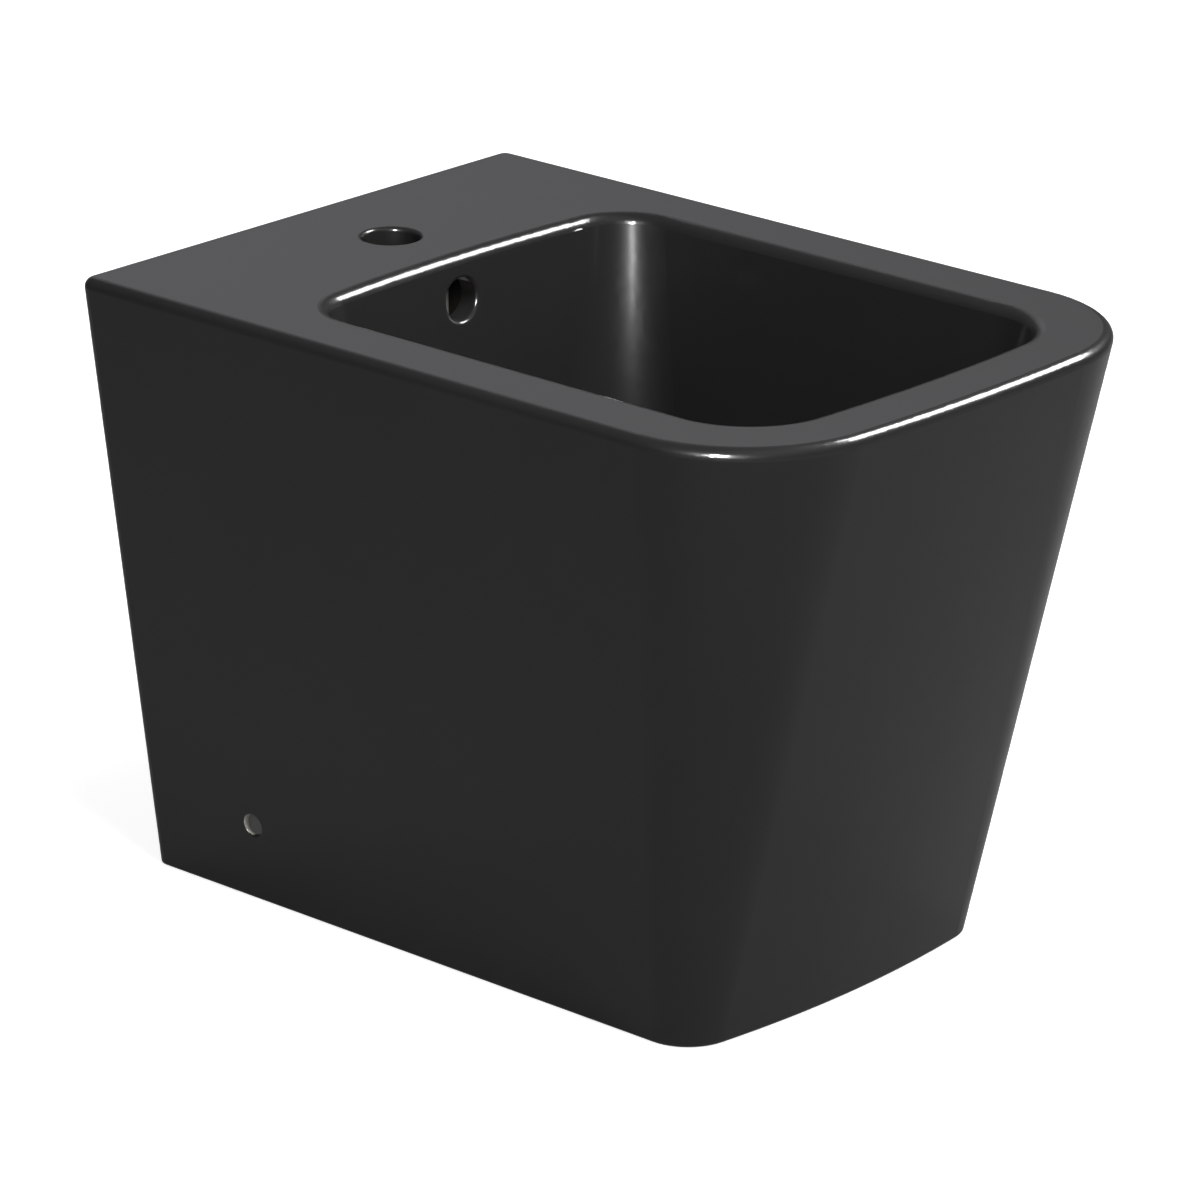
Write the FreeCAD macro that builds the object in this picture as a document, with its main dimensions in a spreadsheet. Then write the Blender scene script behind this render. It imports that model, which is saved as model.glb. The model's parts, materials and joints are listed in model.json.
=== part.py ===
import FreeCAD, Part
import math
import os
import Sketcher
from types import SimpleNamespace

# Driving dimensions, in millimetres
SIZES = {
    # Outer form: a pedestal that tapers to the floor, with a flat vertical back
    "height": 380.0,
    "top_width": 360.0,
    "top_length": 525.0,
    "base_width": 259.0,
    "base_length": 438.0,
    "front_bow": 11.0,
    "top_corner_radius": 91.0,
    "base_corner_radius": 30.0,
    "rim_edge_radius": 6.0,
    "rear_corner_radius": 8.0,
    "foot_edge_radius": 2.0,
    # Wall thicknesses of the hollow casting
    "skin": 12.0,
    "rim_thickness": 14.0,
    "bowl_wall": 10.0,
    # Basin
    "basin_width": 270.0,
    "deck_depth": 132.0,
    "front_rim": 40.5,
    "basin_depth": 150.0,
    "basin_front_bow": 7.0,
    "basin_rear_bow": 7.6,
    "basin_front_radius": 50.0,
    "basin_rear_radius": 35.0,
    "basin_side_draft": 18.0,
    "basin_rear_draft": 14.0,
    "basin_front_wall": 43.0,
    "floor_corner_radius": 52.0,
    "basin_floor_radius": 34.0,
    "basin_edge_radius": 7.0,
    # Waste seat at the bottom of the basin
    "waste_setback": 290.0,
    "dish_depth": 8.0,
    "dish_radius": 74.0,
    "seat_radius": 36.0,
    "waste_hole": 46.0,
    "boss_diameter": 92.0,
    "boss_depth": 36.0,
    "chamber_diameter": 66.0,
    "chamber_height": 16.0,
    "chamber_drop": 11.0,
    # Overflow: mouth in the rear basin wall, duct down the back of the bowl to the waste chamber
    "overflow_bore": 25.0,
    "overflow_drop": 27.5,
    "overflow_lip": 2.5,
    "duct_width": 28.0,
    "duct_depth": 12.0,
    "duct_wall": 8.0,
    # Tap hole in the rear deck
    "tap_bore": 35.0,
    "tap_setback": 77.0,
    "tap_lip": 2.5,
    # Service opening in the back
    "rear_opening_width": 190.0,
    "rear_opening_height": 240.0,
    "rear_opening_radius": 40.0,
    # Side fixing holes
    "side_hole": 14.0,
    "side_hole_setback": 90.0,
    "side_hole_height": 50.0,
    "side_hole_lip": 1.2,
    # Slotted waste
    "flange_diameter": 64.0,
    "flange_thickness": 3.0,
    "flange_round": 1.2,
    "flange_seal_thickness": 2.0,
    "waste_diameter": 41.9,
    "waste_wall": 2.9,
    "waste_throat": 5.0,
    "window_width": 13.0,
    "window_margin": 2.5,
    "hub_drop": 18.0,
    "hub_height": 11.0,
    "hub_wall": 2.6,
    "hub_arm": 3.0,
    "hub_bore": 14.2,
    "lower_seal_thickness": 5.0,
    "seal_width": 7.8,
    "washer_thickness": 2.0,
    "back_nut_height": 10.0,
    "back_nut_flats": 58.0,
    "tail_reach": 13.0,
    # Push-open plug
    "plug_diameter": 61.0,
    "plug_edge": 2.2,
    "plug_crown": 3.4,
    "plug_travel": 8.0,
    "plug_boss": 16.0,
    "plug_boss_depth": 14.0,
    "plug_seal_width": 5.0,
    "plug_seal_thickness": 3.0,
    "plug_seal_inset": 3.5,
    "stem_diameter": 8.0,
    "stem_grip": 11.0,
    "piston_diameter": 9.8,
    "piston_height": 7.0,
    "cartridge_length": 30.0,
    "cartridge_bore": 10.6,
    "cartridge_flange": 18.0,
    "cartridge_lip": 2.0,
    "cartridge_bush": 4.0,
    "cartridge_floor": 2.0,
    "spring_wire": 1.1,
    # Bottle trap
    "trap_tube": 32.0,
    "trap_wall": 2.0,
    "inlet_flange_thickness": 3.0,
    "inlet_washer_thickness": 2.0,
    "nut_lip": 4.0,
    "nut_skirt": 10.0,
    "nut_wall": 4.4,
    "nut_flute": 3.0,
    "collar_gap": 3.0,
    "collar_seal_height": 6.0,
    "collar_diameter": 41.8,
    "collar_height": 12.0,
    "bottle_diameter": 60.0,
    "bottle_wall": 3.0,
    "bottle_shoulder": 6.0,
    "bottle_height": 72.0,
    "branch_reach": 58.0,
    "branch_drop": 28.0,
    "pipe_insert": 20.0,
    "pipe_bead_height": 2.0,
    "pipe_bead_width": 3.0,
    "pipe_wall_gap": 4.0,
    "water_seal": 48.0,
    "cup_overlap": 16.0,
    "cup_wall": 4.0,
    "cup_floor": 3.5,
    "cup_clearance": 15.0,
    "cup_seal_height": 2.0,
    "cup_ledge": 3.2,
    # Floor brackets and side fixings
    "bracket_width": 40.0,
    "bracket_plate": 6.0,
    "bracket_upright": 8.0,
    "bracket_height": 74.0,
    "bracket_foot": 52.0,
    "bracket_inset": 2.0,
    "bracket_rib": 4.0,
    "bracket_boss": 20.0,
    "floor_hole": 9.0,
    "floor_hole_inset": 32.0,
    "screw_diameter": 6.0,
    "screw_head": 11.0,
    "screw_head_height": 3.2,
    "screw_beyond": 2.0,
    "sleeve_length": 5.0,
    "fixing_nut_flats": 10.0,
    "fixing_nut_height": 5.0,
    "cap_thickness": 2.0,
    "cap_skirt": 1.8,
    "cap_edge_radius": 0.5,
    # Clearances
    "thread_gap": 0.1,
    "running_gap": 0.05,
    "loose_gap": 0.3,
    "through_cut": 1.0,
}
COUNTS = {
    "hub_arms": 3,
    "nut_flutes": 12,
    "cup_flutes": 16,
    "spring_turns": 4,
}
SHEET = "Sizes"
FULL_TURN = 360.0
HEX_SIDES = 6
QUARTERS = 4
EDGE_SAMPLES = 5
TURN_SAMPLES = 24
TOUCH = 0.01


class Size:
    """A length: its value now, and the spreadsheet expression that gives it."""

    def __init__(self, value, text):
        self.value = float(value)
        self.text = text

    def __add__(self, other):
        other = as_size(other)
        return Size(self.value + other.value, f"({self.text} + {other.text})")

    def __sub__(self, other):
        other = as_size(other)
        return Size(self.value - other.value, f"({self.text} - {other.text})")

    def __mul__(self, other):
        other = as_size(other)
        return Size(self.value * other.value, f"({self.text} * {other.text})")

    def __truediv__(self, other):
        other = as_size(other)
        return Size(self.value / other.value, f"({self.text} / {other.text})")

    def __neg__(self):
        return Size(-self.value, f"(0 - {self.text})")


def as_size(item):
    return item if isinstance(item, Size) else Size(item, repr(float(item)))


def blend(low, high, share):
    return low + (high - low) * share


def root(size):
    return Size(math.sqrt(size.value), f"sqrt({size.text})")


doc = FreeCAD.newDocument("bidet")
sheet = doc.addObject("Spreadsheet::Sheet", SHEET)
for row, (alias, amount) in enumerate({**SIZES, **COUNTS}.items(), start=1):
    sheet.set(f"A{row}", alias)
    sheet.set(f"B{row}", str(amount))
    sheet.setAlias(f"B{row}", alias)
doc.recompute()
dim = SimpleNamespace(**{name: Size(sheet.get(name), f"{SHEET}.{name}") for name in SIZES})
count = SimpleNamespace(**{name: Size(sheet.get(name), f"{SHEET}.{name}") for name in COUNTS})

sub_parts = []


def new_body(label, is_piece=True):
    body = doc.addObject("PartDesign::Body", label)
    body.Label = label
    if is_piece:
        sub_parts.append(body)
    return body


def bind(item, path, size):
    item.setExpression(path, as_size(size).text)


def place(body, x=0, y=0, z=0, rotation=None):
    if rotation:
        body.Placement = FreeCAD.Placement(FreeCAD.Vector(), rotation)
    for axis, size in (("x", x), ("y", y), ("z", z)):
        bind(body, f"Placement.Base.{axis}", size)
    return body


def origin_feature(body, role):
    return next(item for item in body.Origin.OriginFeatures if item.Role == role)


def new_sketch(body, name, role, lift=0):
    sketch = body.newObject("Sketcher::SketchObject", name)
    sketch.AttachmentSupport = [(origin_feature(body, role), "")]
    sketch.MapMode = "FlatFace"
    bind(sketch, "AttachmentOffset.Base.z", lift)
    return sketch


def constrain(sketch, size, kind, *elements):
    index = sketch.addConstraint(Sketcher.Constraint(kind, *elements, as_size(size).value))
    sketch.setExpression(f"Constraints[{index}]", as_size(size).text)


def pin_point(sketch, geometry, position, x, y):
    for kind, axis, size in (("DistanceX", -2, as_size(x)), ("DistanceY", -1, as_size(y))):
        if size.value == 0:
            sketch.addConstraint(Sketcher.Constraint("PointOnObject", geometry, position, axis))
        else:
            constrain(sketch, size, kind, -1, 1, geometry, position)


def point(x, y):
    return FreeCAD.Vector(as_size(x).value, as_size(y).value, 0)


def arc_of(centre, radius, start, end):
    circle = Part.Circle(centre, FreeCAD.Vector(0, 0, 1), radius)
    return Part.ArcOfCircle(circle, start, end)


def draw_loop(sketch, corners):
    """A closed loop of corners (x, y), each with the radius of any arc that follows: positive turns left."""
    ends = []
    for corner, following in zip(corners, corners[1:] + corners[:1]):
        start, end = point(*corner[:2]), point(*following[:2])
        if len(corner) == 2:
            geometry = sketch.addGeometry(Part.LineSegment(start, end))
        else:
            geometry = draw_arc(sketch, start, end, corner[2])
        turns_right = len(corner) == 3 and corner[2].value < 0
        ends.append((geometry, 2, 1) if turns_right else (geometry, 1, 2))
    for before, after, corner in zip(ends[-1:] + ends[:-1], ends, corners):
        sketch.addConstraint(Sketcher.Constraint("Coincident", before[0], before[2], after[0], after[1]))
        pin_point(sketch, after[0], after[1], *corner[:2])
    return sketch


def draw_arc(sketch, start, end, radius):
    """The shorter arc from start to end, its centre on the left for a positive radius."""
    chord = end - start
    side = math.copysign(1, radius.value)
    rise = math.sqrt(radius.value**2 - (chord.Length / 2) ** 2) / chord.Length
    centre = (start + end) / 2 + FreeCAD.Vector(-chord.y, chord.x, 0) * rise * side
    angles = [math.atan2(spot.y - centre.y, spot.x - centre.x) for spot in (start, end)]
    if side < 0:
        angles.reverse()
    geometry = sketch.addGeometry(arc_of(centre, abs(radius.value), *angles))
    constrain(sketch, radius * side, "Radius", geometry)
    return geometry


def draw_circle(sketch, x, y, diameter):
    radius = diameter / 2
    circle = Part.Circle(point(x, y), FreeCAD.Vector(0, 0, 1), radius.value)
    geometry = sketch.addGeometry(circle)
    pin_point(sketch, geometry, 3, x, y)
    constrain(sketch, radius, "Radius", geometry)
    return sketch


def rectangle(low_x, high_x, low_y, high_y):
    return [(low_x, low_y), (high_x, low_y), (high_x, high_y), (low_x, high_y)]


def hexagon(flats):
    reach = flats / math.sqrt(3)
    turns = [2 * math.pi * step / HEX_SIDES for step in range(HEX_SIDES)]
    return [(reach * round(math.cos(turn), 9), reach * round(math.sin(turn), 9)) for turn in turns]


def bow_radius(half_width, bow):
    return (half_width * half_width + bow * bow) / (bow * 2)


def bowed_end(half_width, apex, bow, corner, side):
    """Where the arcs of one bowed end lie; side is 1 for the rear and -1 for the front."""
    big = bow_radius(half_width, bow).value
    centre_y = apex.value - side * big
    corner_x = half_width.value - corner.value
    corner_y = centre_y + side * math.sqrt((big - corner.value) ** 2 - corner_x**2)
    angle = math.atan2(corner_y - centre_y, corner_x)
    return SimpleNamespace(radius=big, y=centre_y, corner=(corner_x, corner_y), angle=angle)


def draw_plan(sketch, half_width, front, rear, front_bow, front_corner, rear_bow=None, rear_corner=None):
    """A plan outline: straight sides, a bowed front with round corners, and a flat or bowed rear."""
    nose = bowed_end(half_width, front, front_bow, front_corner, -1)
    tail = bowed_end(half_width, rear, rear_bow, rear_corner, 1) if rear_bow else None
    half, half_turn = half_width.value, math.pi
    side_end = tail.corner[1] if tail else rear.value
    edges = [Part.LineSegment(point(half, nose.corner[1]), point(half, side_end))]
    if tail:
        right, left = FreeCAD.Vector(*tail.corner, 0), FreeCAD.Vector(-tail.corner[0], tail.corner[1], 0)
        edges.append(arc_of(right, rear_corner.value, 0, tail.angle))
        edges.append(arc_of(point(0, tail.y), tail.radius, tail.angle, half_turn - tail.angle))
        edges.append(arc_of(left, rear_corner.value, half_turn - tail.angle, half_turn))
    else:
        edges.append(Part.LineSegment(point(half, side_end), point(-half, side_end)))
    edges.append(Part.LineSegment(point(-half, side_end), point(-half, nose.corner[1])))
    right, left = FreeCAD.Vector(*nose.corner, 0), FreeCAD.Vector(-nose.corner[0], nose.corner[1], 0)
    edges.append(arc_of(left, front_corner.value, half_turn, half_turn - nose.angle))
    edges.append(arc_of(point(0, nose.y), nose.radius, half_turn - nose.angle, 2 * half_turn + nose.angle))
    edges.append(arc_of(right, front_corner.value, nose.angle, 0))
    sketch.addGeometry(edges, False)
    last = len(edges) - 1
    left_side = 4 if tail else 2
    for index in range(len(edges)):
        following = 0 if index == last else index + 1
        square = not tail and index in (0, 1)
        kind = "Coincident" if square else "Tangent"
        sketch.addConstraint(Sketcher.Constraint(kind, index, 2, following, 1))
    sketch.addConstraint(Sketcher.Constraint("Vertical", 0))
    sketch.addConstraint(Sketcher.Constraint("Vertical", left_side))
    constrain(sketch, half_width, "DistanceX", -1, 1, 0, 1)
    constrain(sketch, -half_width, "DistanceX", -1, 1, left_side, 2)
    ends = [(left_side + 1, left_side + 2, left_side + 3, front, front_bow, front_corner, 1)]
    if tail:
        ends.append((1, 2, 3, rear, rear_bow, rear_corner, -1))
    else:
        sketch.addConstraint(Sketcher.Constraint("Horizontal", 1))
        constrain(sketch, rear, "DistanceY", -1, 1, 1, 1)
    for first, middle, second, apex, bow, corner, inward in ends:
        constrain(sketch, corner, "Radius", first)
        constrain(sketch, corner, "Radius", second)
        constrain(sketch, bow_radius(half_width, bow), "Radius", middle)
        pin_point(sketch, middle, 3, 0, apex + bow_radius(half_width, bow) * inward)
    return sketch


def feature(body, kind, name, sketch):
    item = body.newObject(f"PartDesign::{kind}", name)
    item.Profile = sketch
    return item


def extrude(body, kind, name, sketch, length, reverse=False):
    item = feature(body, kind, name, sketch)
    bind(item, "Length", length)
    item.Reversed = reverse
    return item


def spin(body, kind, name, sketch):
    item = feature(body, kind, name, sketch)
    item.ReferenceAxis = (sketch, ["V_Axis"])
    item.Angle = FULL_TURN
    return item


def loft(body, kind, name, first, second):
    item = feature(body, kind, name, first)
    item.Sections = [second]
    item.Ruled = True
    return item


def repeat_round(body, name, original, copies):
    item = body.newObject("PartDesign::PolarPattern", name)
    item.Originals = [original]
    item.Axis = (origin_feature(body, "Z_Axis"), [""])
    item.Angle = FULL_TURN
    bind(item, "Occurrences", copies)
    body.Tip = item
    return item


def round_edges(body, name, radius, wanted):
    """Round every edge of the body so far for which wanted(edge) holds."""
    doc.recompute()
    base = body.Tip
    names = [f"Edge{i}" for i, edge in enumerate(base.Shape.Edges, start=1) if wanted(edge)]
    if not names:
        raise RuntimeError(f"{name}: no edge found")
    item = body.newObject("PartDesign::Fillet", name)
    item.Base = (base, names)
    bind(item, "Radius", radius)
    return item


def turned(label, corners):
    """A piece of revolution about its own Z axis, from a half section of (radius, height) corners."""
    body = new_body(label)
    section = draw_loop(new_sketch(body, f"{label}_section", "XZ_Plane"), corners)
    spin(body, "Revolution", f"{label}_turned", section)
    return body


def flutes(body, radius, diameter, low, high, copies):
    """Vertical finger grooves round the outside of a turned piece."""
    section = new_sketch(body, f"{body.Label}_flute_section", "XY_Plane", high + dim.through_cut)
    draw_circle(section, radius, 0, diameter)
    length = high - low + dim.through_cut * 2
    groove = extrude(body, "Pocket", f"{body.Label}_flute", section, length)
    doc.recompute()
    repeat_round(body, f"{body.Label}_flutes", groove, copies)


def close_to(left, right):
    return abs(left - right) <= TOUCH


def edge_spots(edge):
    """A few points along an edge, enough to tell which edge it is."""
    return edge.discretize(EDGE_SAMPLES)


def sharp_overhang(run):
    """How far the sharp rim of a wall that leans out by run stands past the rounded one."""
    slope = run / dim.height
    return dim.rim_edge_radius * (slope + root(slope * slope + 1) - 1)


# Places that several pieces share; the top outline is that of the sharp edge, before it is rounded
rear = dim.top_length / 2
front_base = rear - dim.base_length
front_top = -rear - sharp_overhang(front_base + rear)
half_base = dim.base_width / 2
half_top = dim.top_width / 2 + sharp_overhang(dim.top_width / 2 - half_base)
rim_under = dim.height - dim.rim_thickness
waste_y = rear - dim.waste_setback
basin_half = dim.basin_width / 2
basin_rear = rear - dim.deck_depth
basin_front = dim.front_rim - rear
basin_floor = dim.height - dim.basin_depth
seat = basin_floor - dim.dish_depth
boss_bottom = seat - dim.boss_depth
chamber_top = seat - dim.chamber_drop
chamber_bottom = chamber_top - dim.chamber_height
overflow_z = dim.height - dim.overflow_drop
duct_front = basin_rear + dim.bowl_wall
duct_rear = duct_front + dim.duct_depth
tap_y = rear - dim.tap_setback
fixing_y = rear - dim.side_hole_setback
fixing_z = dim.side_hole_height


def outer_half(level):
    return blend(half_base, half_top, level / dim.height)


def outer_front(level):
    return blend(front_base, front_top, level / dim.height)


def ceramic_body():
    body = new_body("ceramic_body")
    beyond = rear + dim.through_cut
    base = new_sketch(body, "base_outline", "XY_Plane")
    draw_plan(base, half_base, front_base, beyond, dim.front_bow, dim.base_corner_radius)
    top = new_sketch(body, "top_outline", "XY_Plane", dim.height)
    draw_plan(top, half_top, front_top, beyond, dim.front_bow, dim.top_corner_radius)
    loft(body, "AdditiveLoft", "outer_form", base, top)
    back = new_sketch(body, "back_outline", "XZ_Plane", -rear)
    side = half_top + dim.through_cut
    draw_loop(back, rectangle(-side, side, -dim.through_cut, dim.height + dim.through_cut))
    extrude(body, "Pocket", "flat_back", back, dim.through_cut * 2)
    hollow_out(body)
    combine(body, "bowl", bowl_form(), "Fuse")
    add_waterway_walls(body)
    combine(body, "basin_space", basin_form(), "Cut")
    round_outside(body)
    cut_waterways(body)
    cut_openings(body)
    return body


def hollow_out(body):
    """The space inside the pedestal, open at the floor, up to the underside of the rim and deck."""
    low = new_sketch(body, "hollow_foot", "XY_Plane")
    front = front_base + dim.skin
    corner = dim.base_corner_radius - dim.skin
    draw_plan(low, half_base - dim.skin, front, rear - dim.skin, dim.front_bow, corner)
    high = new_sketch(body, "hollow_head", "XY_Plane", rim_under)
    front = outer_front(rim_under) + dim.skin
    corner = blend(dim.base_corner_radius, dim.top_corner_radius, rim_under / dim.height) - dim.skin
    draw_plan(high, outer_half(rim_under) - dim.skin, front, rear - dim.skin, dim.front_bow, corner)
    loft(body, "SubtractiveLoft", "pedestal_hollow", low, high)


def basin_mouth(sketch, grow):
    draw_plan(sketch, basin_half + grow, basin_front - grow, basin_rear + grow, dim.basin_front_bow,
              dim.basin_front_radius + grow, dim.basin_rear_bow, dim.basin_rear_radius + grow)
    return sketch


def basin_foot(sketch, grow):
    corner = dim.floor_corner_radius + grow
    half = basin_half - dim.basin_side_draft + grow
    front = outer_front(basin_floor) + dim.basin_front_wall - grow
    back = basin_rear - dim.basin_rear_draft + grow
    draw_plan(sketch, half, front, back, dim.basin_front_bow, corner, dim.basin_rear_bow, corner)
    return sketch


def combine(body, name, form, kind):
    item = body.newObject("PartDesign::Boolean", name)
    item.setObjects([form])
    item.Type = kind


def bowl_form():
    """The bowl that hangs from the rim, as a solid: the basin's form with its wall round it."""
    form = new_body("bowl_form", is_piece=False)
    bowl_top = dim.height - dim.rim_thickness / 2
    bowl_bottom = basin_floor - dim.bowl_wall
    head = basin_mouth(new_sketch(form, "bowl_head", "XY_Plane", bowl_top), dim.bowl_wall)
    foot = basin_foot(new_sketch(form, "bowl_foot", "XY_Plane", bowl_bottom), dim.bowl_wall)
    loft(form, "AdditiveLoft", "bowl_walls", head, foot)
    round_edges(form, "bowl_round", dim.basin_floor_radius + dim.bowl_wall,
                lambda edge: all(close_to(v.Z, bowl_bottom.value) for v in edge.Vertexes))
    return form


def add_waterway_walls(body):
    """The waste boss under the bowl and the walls of the duct down its back."""
    boss = new_sketch(body, "boss_outline", "XY_Plane", boss_bottom)
    draw_circle(boss, 0, waste_y, dim.boss_diameter)
    buried = basin_floor - dim.bowl_wall / 2
    extrude(body, "Pad", "waste_boss", boss, buried - boss_bottom)
    half_duct = dim.duct_width / 2 + dim.duct_wall
    duct_bottom = chamber_bottom - dim.duct_wall
    duct_top = overflow_z + dim.overflow_bore / 2 + dim.duct_wall
    back = duct_rear + dim.duct_wall
    drop = new_sketch(body, "duct_drop_outline", "XY_Plane", duct_bottom)
    draw_loop(drop, rectangle(-half_duct, half_duct, basin_rear - dim.basin_rear_draft, back))
    extrude(body, "Pad", "duct_drop", drop, duct_top - duct_bottom)
    run = new_sketch(body, "duct_run_outline", "XY_Plane", duct_bottom)
    draw_loop(run, rectangle(-half_duct, half_duct, waste_y, basin_rear))
    extrude(body, "Pad", "duct_run", run, buried - duct_bottom)


def basin_form():
    """The water space as a solid: drafted walls, a rounded floor and a dish that falls to the waste."""
    form = new_body("basin_form", is_piece=False)
    true_size = as_size(0)
    mouth = new_sketch(form, "basin_mouth", "XY_Plane", dim.height + dim.through_cut)
    basin_mouth(mouth, true_size)
    foot = basin_foot(new_sketch(form, "basin_foot", "XY_Plane", basin_floor), true_size)
    loft(form, "AdditiveLoft", "basin_walls", mouth, foot)
    round_edges(form, "basin_floor_round", dim.basin_floor_radius,
                lambda edge: all(close_to(v.Z, basin_floor.value) for v in edge.Vertexes))
    middle_radius = (dim.dish_radius + dim.seat_radius) / 2
    sweep = dim.dish_radius - dim.seat_radius
    curve = (sweep * sweep / 4 + dim.dish_depth * dim.dish_depth / 4) / dim.dish_depth
    dish = new_sketch(form, "dish_section", "XZ_Plane", -waste_y)
    above = basin_floor + dim.through_cut
    middle = (middle_radius, seat + dim.dish_depth / 2, -curve)
    draw_loop(dish, [(0, seat), (dim.seat_radius, seat, curve), middle,
                     (dim.dish_radius, basin_floor), (dim.dish_radius, above), (0, above)])
    spin(form, "Revolution", "floor_dish", dish)
    return form


def round_outside(body):
    top, foot, back = dim.height.value, 0.0, rear.value
    margin, half_skin = dim.through_cut.value, dim.skin.value / 2

    def in_mouth(spot):
        across = abs(spot.x) < basin_half.value + margin
        return across and basin_front.value - margin < spot.y < basin_rear.value + margin

    def rear_corner(edge):
        middle = edge.CenterOfMass
        on_back = all(close_to(v.Y, back) for v in edge.Vertexes)
        outer = abs(middle.x) > outer_half(as_size(middle.z)).value - half_skin
        return on_back and outer

    def rim(edge):
        return all(close_to(v.Z, top) for v in edge.Vertexes) and not in_mouth(edge.CenterOfMass)

    def mouth(edge):
        return all(close_to(v.Z, top) for v in edge.Vertexes) and in_mouth(edge.CenterOfMass)

    def floor_outline(edge):
        middle = edge.CenterOfMass
        flat = all(close_to(v.Z, foot) for v in edge.Vertexes)
        side = abs(middle.x) > half_base.value - half_skin
        return flat and (side or middle.y < front_base.value + dim.skin.value - margin)

    round_edges(body, "rear_round", dim.rear_corner_radius, rear_corner)
    round_edges(body, "rim_round", dim.rim_edge_radius, rim)
    round_edges(body, "mouth_round", dim.basin_edge_radius, mouth)
    round_edges(body, "foot_round", dim.foot_edge_radius, floor_outline)


def cut_waterways(body):
    """Waste hole with the overflow chamber round it, the duct and the overflow mouth."""
    hole, room = dim.waste_hole / 2, dim.chamber_diameter / 2
    low, high = boss_bottom - dim.through_cut, seat + dim.through_cut
    chamber = new_sketch(body, "waste_section", "XZ_Plane", -waste_y)
    draw_loop(chamber, [(0, low), (hole, low), (hole, chamber_bottom), (room, chamber_bottom),
                        (room, chamber_top), (hole, chamber_top), (hole, high), (0, high)])
    spin(body, "Groove", "waste_chamber", chamber)
    half_duct = dim.duct_width / 2
    run = new_sketch(body, "run_section", "XY_Plane", chamber_top)
    draw_loop(run, rectangle(-half_duct, half_duct, waste_y + hole, duct_rear))
    extrude(body, "Pocket", "duct_run_space", run, dim.chamber_height)
    mouth_top = overflow_z + dim.overflow_bore / 2
    drop = new_sketch(body, "drop_section", "XY_Plane", mouth_top)
    draw_loop(drop, rectangle(-half_duct, half_duct, duct_front, duct_rear))
    extrude(body, "Pocket", "duct_drop_space", drop, mouth_top - chamber_bottom)
    start = basin_rear - dim.basin_rear_draft
    mouth = new_sketch(body, "overflow_section", "XZ_Plane", -start)
    draw_circle(mouth, 0, overflow_z, dim.overflow_bore)
    extrude(body, "Pocket", "overflow_mouth", mouth, duct_front - start + dim.duct_depth / 2)

    def lip(edge):
        on_bore = all(
            close_to(math.hypot(spot.x, spot.z - overflow_z.value), dim.overflow_bore.value / 2)
            for spot in edge_spots(edge)
        )
        return on_bore and all(spot.y < basin_rear.value for spot in edge_spots(edge))

    round_edges(body, "overflow_lip", dim.overflow_lip, lip)


def cut_openings(body):
    tap = new_sketch(body, "tap_section", "XY_Plane", dim.height + dim.through_cut)
    draw_circle(tap, 0, tap_y, dim.tap_bore)
    extrude(body, "Pocket", "tap_hole", tap, dim.rim_thickness + dim.through_cut * 2)
    back = new_sketch(body, "service_section", "XZ_Plane", dim.skin + dim.through_cut - rear)
    half = dim.rear_opening_width / 2
    corner, arch = dim.rear_opening_radius, dim.rear_opening_height
    draw_loop(back, [(-half, -dim.through_cut), (half, -dim.through_cut), (half, arch - corner, corner),
                     (half - corner, arch), (corner - half, arch, corner), (-half, arch - corner)])
    extrude(body, "Pocket", "service_opening", back, dim.skin + dim.through_cut * 2)
    side = new_sketch(body, "fixing_section", "YZ_Plane", half_top)
    draw_circle(side, fixing_y, fixing_z, dim.side_hole)
    extrude(body, "Pocket", "fixing_holes", side, half_top * 2)

    def tap_edge(edge):
        return all(
            close_to(spot.z, dim.height.value)
            and close_to(math.hypot(spot.x, spot.y - tap_y.value), dim.tap_bore.value / 2)
            for spot in edge_spots(edge)
        )

    def fixing_edge(edge):
        skin_middle = outer_half(fixing_z).value - dim.skin.value / 2
        hole = dim.side_hole.value / 2
        return all(
            abs(spot.x) > skin_middle
            and close_to(math.hypot(spot.y - fixing_y.value, spot.z - fixing_z.value), hole)
            for spot in edge_spots(edge)
        )

    round_edges(body, "tap_lip", dim.tap_lip, tap_edge)
    round_edges(body, "fixing_lips", dim.side_hole_lip, fixing_edge)


# Levels of the slotted waste, from the seat in the basin down to its tail
tube = dim.waste_diameter / 2
tube_inside = tube - dim.waste_wall
flange_under = seat + dim.flange_seal_thickness
flange_top = flange_under + dim.flange_thickness
hub_top = flange_under - dim.hub_drop
lower_seal_bottom = boss_bottom - dim.lower_seal_thickness
washer_bottom = lower_seal_bottom - dim.washer_thickness
back_nut_bottom = washer_bottom - dim.back_nut_height
tail_end = back_nut_bottom - dim.tail_reach


def at_waste(body):
    return place(body, y=waste_y)


def ring(label, inner, outer, low, high):
    return turned(label, rectangle(inner, outer, low, high))


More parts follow.
